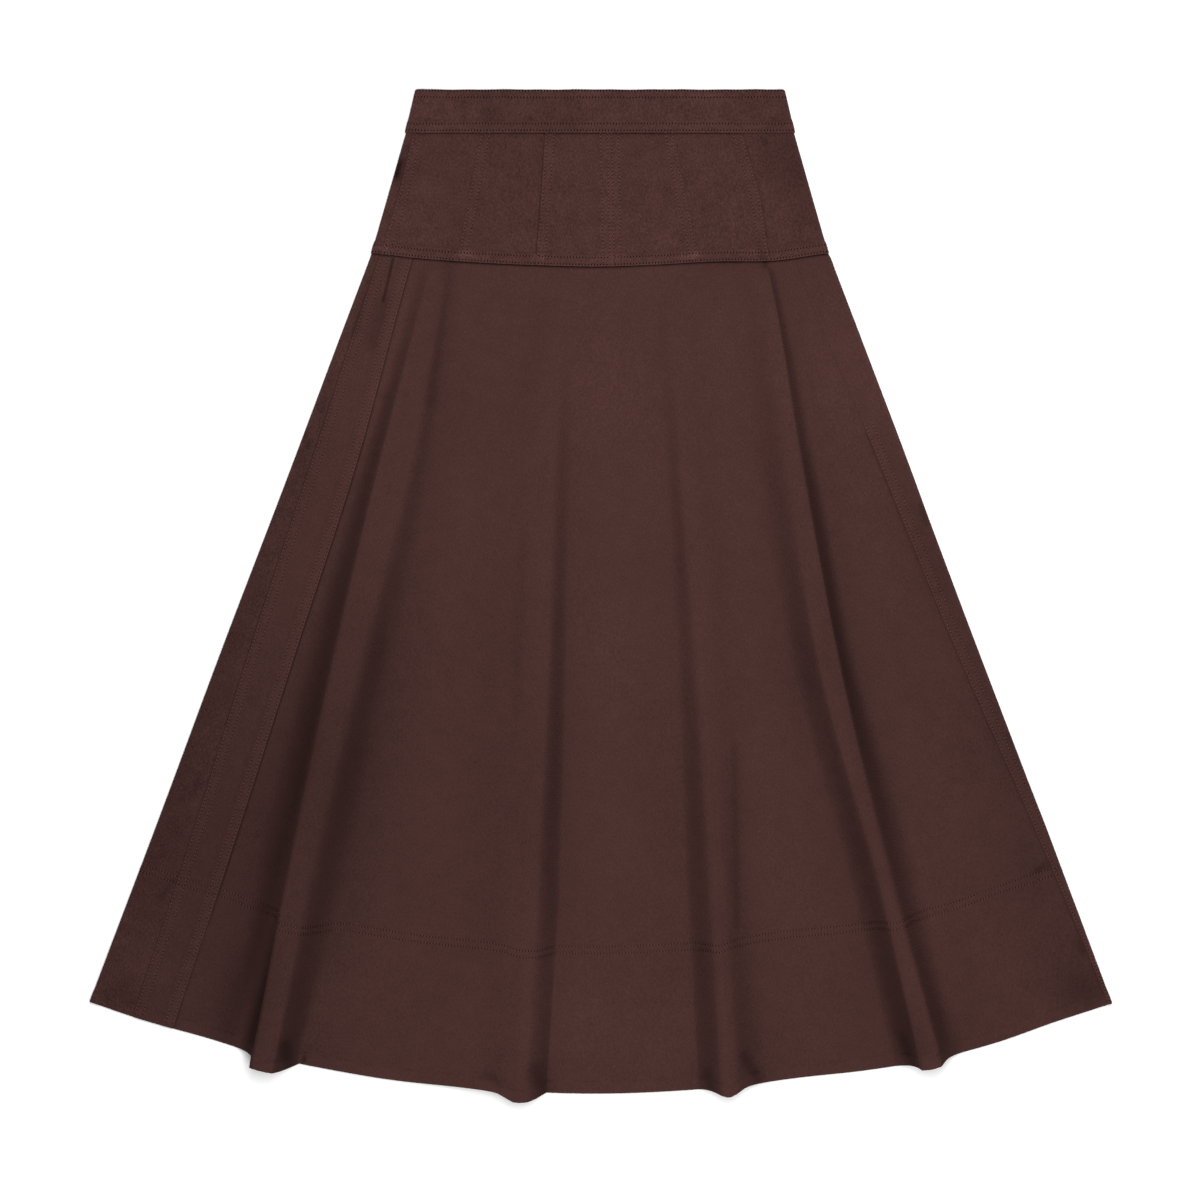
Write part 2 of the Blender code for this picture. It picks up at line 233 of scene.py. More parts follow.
# Puckers along a seam: lengths of three waves, their shifts from border to border, and the share of the
# first two, which are multiplied
PUCKER_WAVES = (8.3 * MM, 31 * MM, 12.7 * MM)
PUCKER_SHIFTS = (1, 2.1, 1.7)
PUCKER_SHARE = 0.7
# Broad swells of the laid front: height, radians per metre in x and y, and shift
SWELLS = ((0.35 * MM, 19, 4, 1), (0.25 * MM, 7, -15, 2), (0.2 * MM, 31, 11, 0))

# Waistband: how far its ends lie round the left edge and apart, grid step, and waves of the waist edge
# with the share of the depth over which they fade
BAND_END_TURN = 4 * MM
BAND_ENDS_APART = 0.3 * MM
BAND_STEP = 1.3 * MM
BAND_WAVE = 0.25 * MM
BAND_WAVES = (23, 9)
BAND_WAVE_REACH = 0.3
# Gores: usual dip of the lower edge below the sides, grid steps, fade at the top, and turns at the folds
GORE_DIP = 6 * MM
GORE_STEP = 4 * MM
GORE_FADE = 4 * MM
RIGHT_GORE_TURN = 16 * MM
RIGHT_GORE_UNDER = 14 * MM
RIGHT_GORE_UNDER_STEP = 2 * MM
LEFT_GORE_TURN = 10 * MM
# Skirt: fades below the yoke, and grid steps
SKIRT_TOP_FADE = 5 * MM
SWELL_FADE = 20 * MM
CREASE_TOP_FADE = 2 * MM
STRIP_STEP = 4.5 * MM
FRONT_STEP = 5.2 * MM
BACK_STEP = 7 * MM

# Camera: straight above, the photograph's square frame at the height of the surface
FRAME_SIDE = 1.08
CAMERA_HEIGHT = 3.0
SENSOR = 36.0
PIXEL = 0.9 * MM
PHOTO_MIDDLE = 600
PHOTO_WAIST = 90


def smooth(t):
    """Eased step from 0 to 1."""
    t = np.clip(t, 0.0, 1.0)
    return t * t * (3 - 2 * t)


def bell(distance, width):
    """1 at no distance, fading on both sides over a width."""
    return np.exp(-(distance / width)**2)


def edge(name, distance):
    """Height of a form of EDGES at a distance from its edge."""
    height, width = EDGES[name]
    return height * MM * (1 - smooth(distance / (width * MM)))


def ridge(name, distance):
    """Height of a form of RIDGES at a distance from its line."""
    height, width = RIDGES[name]
    return height * MM * bell(distance, width * MM)


def unit(vectors):
    """Vectors at length 1."""
    return vectors / np.linalg.norm(vectors, axis=-1, keepdims=True)


def along(stations, t):
    """Values at t, 0 to 1, of a smooth curve through equally spaced stations."""
    stations = np.asarray(stations, float)
    steps = len(stations) - 1
    t = np.clip(t, 0.0, 1.0) * steps
    first = np.minimum(np.floor(t).astype(int), steps - 1)
    t = t - first
    before = stations[np.maximum(first - 1, 0)]
    start = stations[first]
    end = stations[first + 1]
    after = stations[np.minimum(first + 2, steps)]
    pull = (end - before) / 2
    push = (after - start) / 2
    return (start * (2 * t**3 - 3 * t**2 + 1) + end * (3 * t**2 - 2 * t**3)
            + pull * (t**3 - 2 * t**2 + t) + push * (t**3 - t**2))


def half_width(down):
    """Half the laid width at a depth below the waist edge."""
    return (WAIST_HALF + BAND_SLOPE * np.minimum(down, BAND_DEPTH)
            + YOKE_SLOPE * np.clip(down - BAND_DEPTH, 0, YOKE_SIDE_DOWN - BAND_DEPTH)
            + SKIRT_SLOPE * np.maximum(down - YOKE_SIDE_DOWN, 0))


APEX_ABOVE = half_width(YOKE_SIDE_DOWN) / SKIRT_SLOPE - YOKE_SIDE_DOWN


def unwrap(around):
    """Whether each place is on the front, and its share of the half width, -1 to 1."""
    around = (around + 1) % 4 - 1
    return around <= 1, np.where(around <= 1, around, 2 - around)


def laid(around, down, rise=0.0):
    """Points of the outer face of the flattened tube, raised on the front by rise."""
    front, share = unwrap(around)
    half = half_width(down)
    side = np.sign(share)
    inset = (1 - np.abs(share)) * half
    turn = math.pi / 2 * np.where(front, 1 - inset / FOLD_RADIUS, 1 + inset / FOLD_RADIUS)
    radius = FOLD_RADIUS + rise * (1 + np.cos(turn)) / 2
    roll = (2 * FOLD_RADIUS - FRONT_TOP) * (1 - smooth((inset - FOLD_RADIUS) / FOLD_ROLL))
    folded = inset < FOLD_RADIUS
    x = np.where(folded, side * (half - FOLD_RADIUS + radius * np.sin(turn)), side * (half - inset))
    flat_z = np.where(front, FRONT_TOP + roll + rise, 0.0)
    z = np.where(folded, FOLD_RADIUS + radius * np.cos(turn), flat_z)
    return np.stack((x, WAIST_Y - down + 0 * x, z), axis=-1)


def yoke_edge_down(around):
    """Depth of the yoke's lower edge."""
    return along(YOKE_EDGE_DOWN_MM, (unwrap(around)[1] + 1) / 2) * MM


def hem_down(around):
    """Depth of the hem, eased shorter on the back."""
    front, share = unwrap(around)
    radius = along(HEM_RADIUS_MM, (share + 1) / 2) * MM
    radius = radius - np.where(front, 0, BACK_HEM_SHORT * smooth((1 - np.abs(share)) / BACK_HEM_EASE))
    return radius * np.cos(np.arctan(share * SKIRT_SLOPE)) - APEX_ABOVE


CENTRE_LENGTH = float(hem_down(np.array(0.0)) - yoke_edge_down(np.array(0.0)))


def skirt_down(around, v):
    """Depth at share v of the way from just under the yoke's edge to the hem."""
    top = yoke_edge_down(around) - TUCK
    return top + (hem_down(around) - top) * v


def skirt_radius(around, v):
    """Distance from the skirt's apex at share v of the way down."""
    angle = np.arctan(unwrap(around)[1] * SKIRT_SLOPE)
    return (skirt_down(around, v) + APEX_ABOVE) / np.cos(angle)


def even(count):
    """Shares of a span cut into equal steps."""
    return np.arange(1, count + 1) / count


# Distances from a sewn edge at which its relief is sampled
LADDER = np.array((0.3, 0.7, 1.1, 1.5, 1.9, 2.4, 3.2, 4.4, 5.8,
                   6.9, 7.5, 8.0, 8.5, 9.2, 10.2, 11.4, 13.0)) * MM


def laddered(width, step, start=True, end=True):
    """Shares of a span of this width, finely cut beside its sewn ends."""
    low = LADDER if start else np.array((TUCK, 2 * TUCK))
    high = width - (LADDER if end else np.array((TUCK, 2 * TUCK)))[::-1]
    count = max(int(round((high[0] - low[-1]) / step)), 1)
    middle = low[-1] + (high[0] - low[-1]) * np.arange(1, count) / count
    return np.concatenate((low, middle, high, (width,))) / width


def across(knots, shares):
    """Places around the tube for each row: knots is rows by spans + 1, shares one list for each span."""
    places = [knots[:, :1]]
    for span, steps in enumerate(shares):
        start = knots[:, span:span + 1]
        end = knots[:, span + 1:span + 2]
        places.append(start + (end - start) * steps[None, :])
    return np.concatenate(places, axis=1)


class Panel:
    """One cut piece as a grid of points, rows from the waist down and columns round the tube."""

    def __init__(self, name, node, slot, points):
        self.name = name
        self.node = node
        self.slot = slot
        self.points = points
        self.lift = np.zeros(points.shape[:2])
        # Tone per point: painted shade and painted light, with some real wear at worn edges
        self.shade_and_wear = np.zeros(points.shape[:2])
        self.under = points[..., 2] < FOLD_RADIUS
        self.rows = []
        self.shows_from = {}

    def normals(self):
        """Outward unit normals of the grid."""
        downwards = np.gradient(self.points, axis=0)
        sideways = np.gradient(self.points, axis=1)
        return unit(np.cross(sideways, -downwards))

    def from_side(self, side):
        """Distance along the cloth from one border."""
        axis = 1 if side in ("left", "right") else 0
        step = np.linalg.norm(np.diff(self.points, axis=axis), axis=-1)
        first = np.zeros_like(np.take(step, [0], axis=axis))
        run = np.concatenate((first, np.cumsum(step, axis=axis)), axis=axis)
        if side in ("right", "bottom"):
            run = np.take(run, [-1], axis=axis) - run
        return run

    def showing(self, side, run):
        """How far a border's seam shows: 1, or fading in where it first shows."""
        if side not in self.shows_from:
            return 1.0
        return smooth((run - self.shows_from[side]) / SEAM_FADE)

    def add_lift(self, height):
        """Raise the face; what lies underneath on the surface is never pushed out."""
        self.lift += np.where(self.under, np.minimum(height, 0), height)

    def shade(self, name, distance, share=1.0):
        """Lighten or darken the tone along a line by a row of SHADES."""
        amount, width = SHADES[name]
        self.shade_and_wear += amount * share * bell(distance, width * MM)

    def outer(self):
        """Points of the finished outer face."""
        return self.points + self.normals() * self.lift[..., None]

    def lap(self, side, rows, lift=LAP_LIFT):
        """A turned edge sewn down over its neighbour, with its two rows of topstitching."""
        distance = self.from_side(side)
        run = self.from_side("top" if side in ("left", "right") else "left")
        shown = self.showing(side, run)
        raised = lift * (1 - smooth((distance - ALLOWANCE) / LAP_SLOPE))
        self.add_lift((raised + edge("lap's roll", distance)) * shown)
        self.shade("lap's worn edge", distance, shown)
        # Painted shade in the hollow past the seam allowance
        self.shade("allowance", distance - ALLOWANCE - ALLOWANCE_HOLLOW, shown)
        for row in rows:
            self.sew_row(side, row, distance, run)
        away = distance - sum(rows) / 2
        puckered = ridge("twin rows' pucker", away) * pucker(run, self.seed(side))
        self.add_lift((ridge("twin rows", away) + puckered) * shown)
        uneven = 1 + UNEVEN_ROWS * pucker(run, 4 + self.seed(side))
        self.shade("twin rows", away, shown * uneven)

    def sew_row(self, side, row, distance, run, drawn=0.0):
        """Pull the cloth in along one stitch row, paint shade in its groove, and note the row for its
        stitches.
        """
        groove = self.showing(side, run) * bell(distance - row, ROW_WIDTH)
        pull = ROW_DEPTH + ROW_UNEVEN * pucker(run, 2 + self.seed(side))
        self.lift -= pull * groove
        self.shade_and_wear -= (ROUND_ROW_DARK if side in ("top", "bottom") else SEAM_ROW_DARK) * groove
        self.rows.append((side, row + drawn))

    def seed(self, side):
        """A number of its own for each border's puckers."""
        return len(self.name) + 3 * len(side) + sum(map(ord, self.name[-3:])) % 17

    def tuck_under(self, side, line):
        """Let a plain edge dip under the neighbour that laps over it, with a painted shadow line this
        strong.
        """
        distance = self.from_side(side)
        shown = self.showing(side, self.from_side("top"))
        dip = np.where(self.under, UNDER_DIP, TUCK_DIP) * (FLAT_DIP + (1 - FLAT_DIP) * shown)
        self.lift -= dip * (1 - smooth((distance - TUCK) / TUCK_SLOPE))
        self.shade("tucked edge", distance - TUCK, line * shown)

    def paint_fold_shade(self):
        """Paint shade on steep flanks and in the hollows beside raised folds, from how much sky each point
        sees.
        """
        outer = self.outer()
        plan = outer[..., :2]
        height = outer[..., 2]
        open_sky = np.zeros(height.shape)
        for way in (1, -1):
            steepest = np.zeros(height.shape)
            for step in range(1, FOLD_SHADE_REACH):
                other = slice(step, None) if way > 0 else slice(None, -step)
                here = slice(None, -step) if way > 0 else slice(step, None)
                apart = np.linalg.norm(plan[:, other] - plan[:, here], axis=-1) + FOLD_SHADE_LEAST_STEP
                slope = (height[:, other] - height[:, here]) / apart
                steepest[:, here] = np.maximum(steepest[:, here], slope)
            open_sky += 0.5 / (1 + steepest**2)
        upright = np.clip(self.normals()[..., 2], 0, 1) ** FOLD_SHADE_POWER
        self.shade_and_wear -= FOLD_SHADE_DEPTH * (1 - open_sky * upright)

    def path(self, side, distance):
        """Points and normals of the finished face at a distance from a border, one or one for each line."""
        depth = self.from_side(side)
        face = np.concatenate((self.outer(), self.normals()), axis=-1)
        if side in ("top", "bottom"):
            depth = depth.T
            face = face.transpose(1, 0, 2)
        if side in ("right", "bottom"):
            depth = depth[:, ::-1]
            face = face[:, ::-1]
        distance = np.broadcast_to(np.ravel(distance), len(depth))
        found = np.concatenate([read_off([at], run, line) for at, run, line in zip(distance, depth, face)])
        return found[:, :3], found[:, 3:]

    def flat_size(self):
        """Width, length and area of the cut, measured along the cloth."""
        rows = np.linalg.norm(np.diff(self.points, axis=1), axis=-1).sum(axis=1)
        columns = np.linalg.norm(np.diff(self.points, axis=0), axis=-1).sum(axis=0)
        lines = np.linalg.norm(np.diff(self.points, axis=1), axis=-1)
        steps = np.linalg.norm(np.diff(self.points, axis=0), axis=-1)
        area = ((lines[1:] + lines[:-1]) / 2 * (steps[:, 1:] + steps[:, :-1]) / 2).sum()
        return rows.max(), columns.max(), area

    def make(self, material):
        """The piece as a shell over its solid."""
        rows, columns = self.lift.shape
        grid = bmesh.new()
        bmesh.ops.create_grid(grid, x_segments=columns - 1, y_segments=rows - 1, size=0.5)
        mesh = bpy.data.meshes.new(self.name)
        grid.to_mesh(mesh)
        grid.free()
        flat = np.empty(len(mesh.vertices) * 3)
        mesh.vertices.foreach_get("co", flat)
        flat = flat.reshape(-1, 3)
        column = np.rint((flat[:, 0] + 0.5) * (columns - 1)).astype(int)
        row = np.rint((0.5 - flat[:, 1]) * (rows - 1)).astype(int)
        mesh.vertices.foreach_set("co", self.outer()[row, column].ravel())
        # Each point's painted shade and painted light, with some real wear, for the twill's tone
        shade_and_wear = mesh.attributes.new("shade_and_wear", "FLOAT", "POINT")
        shade_and_wear.data.foreach_set("value", self.shade_and_wear[row, column])
        mesh.shade_smooth()
        mesh.materials.append(material)
        piece = place(self.name, mesh)
        wall = piece.modifiers.new("wall", "SOLIDIFY")
        wall.thickness = WALL
        wall.offset = -1
        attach(piece, "root")
        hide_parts(self.node)
        width, length, area = self.flat_size()
        return piece


def place(name, data):
    """A new object in the scene."""
    thing = bpy.data.objects.new(name, data)
    bpy.context.scene.collection.objects.link(thing)
    return thing


def pucker(run, seed):
    """Uneven small waves along a seam, -1 to 1."""
    short, long, middle = [np.sin(run * 2 * math.pi / wave + shift * seed)
                           for wave, shift in zip(PUCKER_WAVES, PUCKER_SHIFTS)]
    return PUCKER_SHARE * short * long + (1 - PUCKER_SHARE) * middle


def ground_swell(points):
    """Broad low unevenness of the laid front."""
    x = points[..., 0]
    y = points[..., 1]
    return sum(height * np.sin(x * in_x + y * in_y + shift) for height, in_x, in_y, shift in SWELLS)


# Creases laid one by one, in mm. start and end: x from the centre line and depth below the waist. A depth
# below 0 stands up. dark: how much painted shade lies in them; below 0, painted light on raised bulk.
Crease = namedtuple("Crease", "name start end width depth dark")
CREASES = [Crease(*row) for row in (
    ("slit under the yoke", (-186.2, 152), (-194.8, 189), 1.0, 1.4, 1.0),
    ("left fold's valley, top", (-134, 158), (-149, 280), 7, 0.7, 0.2),
    ("yoke seam's foot", (142, 138), (149, 157), 3.2, 0.7, 0.5),
    ("bulk at the left side seam", (-198, 142), (-192, 142), 3, -0.2, -0.5),
    ("bulk at the left outer seam", (-125, 147.5), (-117, 148), 3, -0.3, -0.8),
    ("bulk at the left inner seam", (-58, 151), (-52, 151.4), 3, -0.3, -0.8),
    ("bulk at the centre seam", (0, 151), (24, 151), 3.5, -0.2, -0.35),
    ("bulk at the right inner seam", (75, 149.8), (87, 149), 3.2, -0.3, -0.9),
    ("bulk at the right outer seam", (128, 146), (140, 145), 3.5, -0.2, -0.4),
    ("left fold's foot at the hem", (-281.5, 858), (-277.5, 878), 6, 0.4, 0.4),
    ("third fold's back", (121.5, 589.5), (123.3, 751), 3.5, 0.4, 0.22),
    ("third fold's hem", (129, 868), (143, 889), 5, 0.4, 0.5),
    ("second fold's hem, left", (-101, 883), (-88, 893), 4, 0.3, 0.4),
    ("second fold's hem, right", (-60, 880), (-49, 900), 7, 0.3, 0.4),
    ("third fold's hem, left", (96, 884), (101, 900), 4, 0.3, 0.35),
    ("right fold's hem", (269, 850), (279, 876), 4.5, 0.3, 0.35),
    ("beside the second fold", (-70, 400), (-76, 560), 6, 0.4, 0.16),
    ("slit's tail", (-195, 190), (-206, 230), 6, 0.9, 0.35),
    ("yoke left edge dent", (-181, 66), (-184.5, 77), 4.5, 1.0, 1.1),
    ("beside the dent", (-178, 56), (-184, 80), 9, 0.5, 0.4),
    ("band mark", (-50, 10), (-36, 10), 0.8, 0.3, 0.7),
    ("left edge nick", (-267, 311), (-260, 324), 2.0, 0.7, 0.5),
    ("left back top", (-208, 171), (-221, 219), 3, 0.5, 0.3),
    ("left back upper", (-243, 262), (-251, 300), 4, 0.4, 0.2),
    ("left back low", (-362, 619), (-365, 632), 3, 0.8, 0.3),
    ("left back hem row", (-395, 725), (-385, 713), 3, 0.8, 0.3),
    ("strip side", (-199, 276), (-190, 274), 2, 0.5, 0.2),
    ("hem join", (-266.5, 867), (-266, 879), 1.0, 0.9, 0.8),
    ("right edge upper", (289, 374), (293, 388), 3.5, 0.8, 0.4),
    ("right edge middle", (368, 580), (371, 592), 3.5, 0.6, 0.2),
    ("right strip end", (430, 768), (434, 776), 3.5, 1.0, 0.4),
    ("right row end", (392, 703), (403, 696), 2.5, 0.9, 0.5),
)]
CREASE_EDGE_FADE = 6 * MM

# Painted shade and painted light in broad soft patches, in mm. at: x from the centre line and depth below
# the
# waist. long and wide: half sizes, the long way pointing to the skirt's apex. shade: less than 0 is darker.
Patch = namedtuple("Patch", "name at long wide shade")
LIGHT_AND_SHADE_PATCHES = [Patch(*row) for row in (
    ("lower left", (-270, 612), 207, 125, -0.29),
    ("left fold crest", (-227, 612), 100, 25, -0.19),
    ("left fold, low", (-304, 812), 90, 30, -0.2),
    ("left fold's valley, low", (-322, 800), 80, 19, -0.28),
    ("left fold's flank, low", (-304, 790), 95, 8, 0.85),
    ("left strip, top", (-200, 215), 60, 12, 0.12),
    ("left corner", (-430, 815), 18, 30, -0.25),
    ("right corner, tip", (437, 812), 18, 25, -0.3),
    ("left fold, hem", (-250, 828), 30, 14, 0.12),
    ("between the folds, hem", (-117, 837), 60, 14, 0.12),
    ("left of the right fold, hem", (251, 850), 45, 12, 0.15),
    ("right, top", (205, 250), 40, 30, 0.1),
    ("yoke right edge, middle", (178, 92), 38, 12, -0.15),
    ("band right end", (131, 10), 12, 20, -0.15),
    ("yoke left, top", (-99, 54), 22, 10, -0.12),
    ("yoke right, light", (95, 52), 18, 14, 0.12),
    ("right side, low", (382, 693), 32, 12, -0.15),
    ("right strip, upper", (292, 423), 60, 18, -0.14),
    ("right of the right fold", (279, 531), 45, 14, -0.1),
    ("right fold crest, middle", (220, 495), 40, 7, 0.12),
    ("left fold crest, middle", (-200, 510), 35, 14, -0.12),
    ("top middle, light", (54, 165), 22, 14, 0.1),
    ("left fold, light", (-320, 756), 38, 12, 0.12),
    ("left fold's foot, middle", (-212, 370), 140, 9, 0.22),
    ("left strip, middle", (-297, 585), 55, 20, 0.1),
    ("second fold's line", (-50, 666), 40, 6, -0.15),
    ("second fold, hem left", (-88, 868), 22, 12, -0.2),
    ("second fold, hem right", (-22, 845), 60, 25, 0.13),
    ("along the hem", (0, 860), 40, 200, 0.07),
    ("third fold, hem", (80, 842), 36, 20, 0.1),
    ("third fold's line", (108, 756), 40, 8, -0.15),
    ("top right", (125, 265), 70, 28, 0.1),
    ("right fold's flank, top", (188, 315), 60, 8, 0.12),
    ("right fold's line, left", (200, 580), 90, 7, 0.15),
    ("right fold's line, right", (238, 639), 110, 7, -0.15),
    ("right fold, hem", (283, 850), 28, 9, -0.3),
    ("left side", (-330, 680), 150, 45, -0.1),
    ("top middle", (0, 240), 90, 70, 0.1),
    ("left back, low", (-385, 712), 60, 35, -0.18),
    ("right fold crest", (200, 480), 105, 12, -0.16),
    ("left fold foot, top", (-186, 240), 80, 11, 0.24),
    ("left of the second fold", (-64, 612), 100, 22, -0.18),
    ("second fold, low", (-50, 815), 55, 13, 0.2),
    ("middle", (45, 612), 135, 27, -0.12),
    ("left of the third fold", (100, 640), 115, 20, -0.10),
    ("third fold, low", (81, 812), 38, 12, 0.15),
    ("left of the right fold", (165, 515), 65, 38, -0.16),
    ("right fold foot, top", (172, 265), 55, 11, 0.13),
    ("right fold, low", (298, 780), 95, 15, 0.38),
    ("right side", (322, 570), 100, 36, -0.18),
    ("right corner, low", (426, 797), 35, 25, -0.2),
    ("right corner", (382, 735), 95, 32, -0.15),
    ("yoke right edge", (158, 60), 34, 20, -0.24),
    ("yoke edge, right", (113, 154), 10, 20, -0.28),
    ("yoke left, low", (-120, 124), 24, 14, -0.25),
    ("yoke left, light", (-160, 98), 26, 10, 0.12),
    ("band left", (-95, 25), 22, 12, -0.18),
    ("band middle", (-36, 26), 14, 22, -0.24),
    ("band right, light", (90, 22), 22, 20, 0.12),
    ("band left, light", (-150, 12), 12, 20, 0.13),
)]
# Painted shade along the side folds, lighter above 0, at nine equal steps from the waist down, and how far
# in it reaches
LEFT_EDGE_SHADE = (0.0, -0.05, -0.12, -0.28, -0.34, -0.36, -0.34, -0.15, -0.28)
RIGHT_EDGE_SHADE = (-0.1, -0.15, 0.15, -0.1, -0.22, -0.28, -0.25, -0.05, -0.3)
EDGE_REACH = 24 * MM
# Painted light on the rounded side edge itself: how much lighter it is, and its width
EDGE_LIGHT = 0.7
EDGE_TURN = 1.6 * MM
LOWEST = 910 * MM


def seen_from_above(panel):
    """Each point's x and depth below the waist, and how far it lies inside the laid sides."""
    plan = np.stack((panel.points[..., 0], WAIST_Y - panel.points[..., 1]), axis=-1)
    return plan, half_width(plan[..., 1]) - np.abs(plan[..., 0])


def paint_broad_light_and_shade(panel):
    """Paint shade and light in broad soft patches, shade along the side folds and light on their rounded
    edges.
    """
    plan, inset = seen_from_above(panel)
    for patch in LIGHT_AND_SHADE_PATCHES:
        middle = np.array(patch.at) * MM
        ray = middle + (0, APEX_ABOVE)
        ray /= np.linalg.norm(ray)
        away = plan - middle
        lengthways = away @ ray / (patch.long * MM)
        sideways = away @ np.array((ray[1], -ray[0])) / (patch.wide * MM)
        panel.shade_and_wear += patch.shade * np.exp(-lengthways**2 - sideways**2) * ~panel.under
    share = np.clip(plan[..., 1] / LOWEST, 0, 1)
    shade = np.where(plan[..., 0] < 0, along(LEFT_EDGE_SHADE, share), along(RIGHT_EDGE_SHADE, share))
    inset = np.maximum(inset, 0)
    panel.shade_and_wear += shade * bell(inset, EDGE_REACH) + EDGE_LIGHT * bell(inset, EDGE_TURN)


def press_creases(panel, fade=1.0):
    """Sink all listed creases into a panel and paint shade in them, and light on the raised bulks."""
    plan, inset = seen_from_above(panel)
    fade = fade * smooth(inset / CREASE_EDGE_FADE)
    for crease in CREASES:
        start = np.array(crease.start) * MM
        line = np.array(crease.end) * MM - start
        length = np.linalg.norm(line)
        share = ((plan - start) @ line) / length**2
        beside = np.linalg.norm(plan - start - np.clip(share, 0, 1)[..., None] * line, axis=-1)
        shape = bell(beside, crease.width * MM) * ~panel.under
        panel.add_lift(-crease.depth * MM * shape * fade)
        panel.shade_and_wear -= crease.dark * shape


def waistband_panel():
    """One strip round the waist."""
    turned = FOLD_RADIUS + BAND_END_TURN
    rows = np.concatenate(((0,), laddered(BAND_DEPTH, BAND_STEP)))
    down = rows[:, None] * BAND_DEPTH
    half = half_width(down)
    fold = FOLD_RADIUS / half
    knots = np.concatenate((-1 - turned / half, -1 - fold, -1 + fold, 1 - fold, 1 + fold,
                            3 - (turned + BAND_ENDS_APART) / half), axis=1)
    columns = (BAND_END_COLUMNS, FOLD_COLUMNS, BAND_FRONT_COLUMNS, FOLD_COLUMNS, BAND_BACK_COLUMNS)
    around = across(knots, [even(count) for count in columns])
    panel = Panel("waistband_cloth", "waistband", "waistband", laid(around, down, BAND_RISE))
    wave = BAND_WAVE * np.sin(around * BAND_WAVES[0] + 1) * np.sin(around * BAND_WAVES[1])
    panel.points[..., 1] += wave * np.maximum(1 - rows[:, None] / BAND_WAVE_REACH, 0)
    panel.lap("bottom", BAND_LOWER_ROWS)
    top = panel.from_side("top")
    panel.add_lift(edge("waist's roll", top))
    for row in BAND_UPPER_ROWS:
        panel.sew_row("top", row, top, panel.from_side("left"))
    panel.shade("waist's worn edge", top)
    return panel


def gore_panel(face, gore, left, right, sewn_left, sewn_right, lines):
    """One yoke gore; its sewn sides lap over the neighbours and its plain sides tuck under them."""
    top = BAND_DEPTH - TUCK
    depth = YOKE_SIDE_DOWN + GORE_DIP - top
    rows = np.concatenate(((0,), laddered(depth, GORE_STEP, start=False)))
    half = half_width(top + (YOKE_SIDE_DOWN - top) * rows)
    start = along(left, rows) - (0 if sewn_left else TUCK / half)
    end = along(right, rows) + (0 if sewn_right else TUCK / half)
    fold = FOLD_RADIUS / half
    width = float(np.mean((end - start) * half))
    if start[0] < 1 < end[0]:
        folds = [1 - fold, 1 + fold]
        shares = [laddered(width - RIGHT_GORE_TURN, GORE_STEP, sewn_left, False), even(FOLD_COLUMNS),
                  laddered(RIGHT_GORE_UNDER, RIGHT_GORE_UNDER_STEP, False, False)]
    elif start[0] < 3 < end[0]:
        folds = [3 - fold, 3 + fold]
        shares = [laddered(width - LEFT_GORE_TURN, GORE_STEP, sewn_left, False), even(FOLD_COLUMNS),
                  even(GORE_UNDER_COLUMNS)]
    else:
        folds = []
        shares = [laddered(width, GORE_STEP, sewn_left, sewn_right)]
    knots = np.stack([start] + folds + [end], axis=1)
    around = across(knots, shares)
    down = top + (yoke_edge_down(around) - top) * rows[:, None]
    name = f"yoke_{face}_{gore + 1}"
    panel = Panel(name + "_cloth", name, "yoke", laid(around, down, YOKE_RISE))
    for side, sewn, line in zip(("left", "right"), (sewn_left, sewn_right), lines):
        if sewn:
            panel.lap(side, TWIN_ROWS)
        else:
            panel.tuck_under(side, line)
    panel.lift *= smooth(panel.from_side("top") / GORE_FADE)
    panel.lap("bottom", TWIN_ROWS, lift=YOKE_LAP_LIFT)
    panel.tuck_under("top", YOKE_TOP_LINES[gore])
    panel.add_lift(ground_swell(panel.points))
    press_creases(panel)
    return panel


def yoke_panels():
    """Six gores on the front and six on the back."""
    fronts = [seam.around for seam in YOKE_FRONT_SEAMS]
    last = [place + 4 for place in fronts[0]]
    backs = [tuple(low + (high - low) * gore / YOKE_GORES for low, high in zip(fronts[-1], last))
             for gore in range(YOKE_GORES + 1)]
    sewn = [seam.sewn for seam in YOKE_FRONT_SEAMS]
    back_sewn = [sewn[-1], *BACK_SEWN, sewn[0]]
    lines = [seam.line for seam in YOKE_FRONT_SEAMS]
    for face, seams, sides in (("front", fronts, sewn), ("back", backs, back_sewn)):
        for gore in range(YOKE_GORES):
            yield gore_panel(face, gore, seams[gore], seams[gore + 1],
                             "right" in sides[gore], "left" in sides[gore + 1], lines[gore:gore + 2])


# Distances from the skirt's top edge and its hem at which it is sampled, and the zone of the facing rows
ROWS_AT_TOP = np.array((0, 1.5, 2.2, 3, 4, 6)) * MM
ROWS_AT_HEM = np.array((0, 0.3, 0.7, 1.2, 2, 4, 7, 9.5, 10.5, 11.5, 12.5, 14, 18)) * MM
PLAIN_START = 8 * MM
PLAIN_END = 20 * MM
FACING_ZONE = (121, 138)


def skirt_rows(step):
    """Shares down the skirt, finely cut at the top edge, the facing rows and the hem."""
    length = CENTRE_LENGTH + TUCK
    facing = np.arange(FACING_ZONE[0] + 1, FACING_ZONE[1] - 1, 1.0) * MM
    plain = np.arange(PLAIN_START, length - PLAIN_END, step)
    plain = plain[(plain < length - FACING_ZONE[1] * MM) | (plain > length - FACING_ZONE[0] * MM)]
    rows = np.concatenate((ROWS_AT_TOP, plain, length - facing, length - ROWS_AT_HEM))
    return np.unique(np.round(rows, 7)) / length


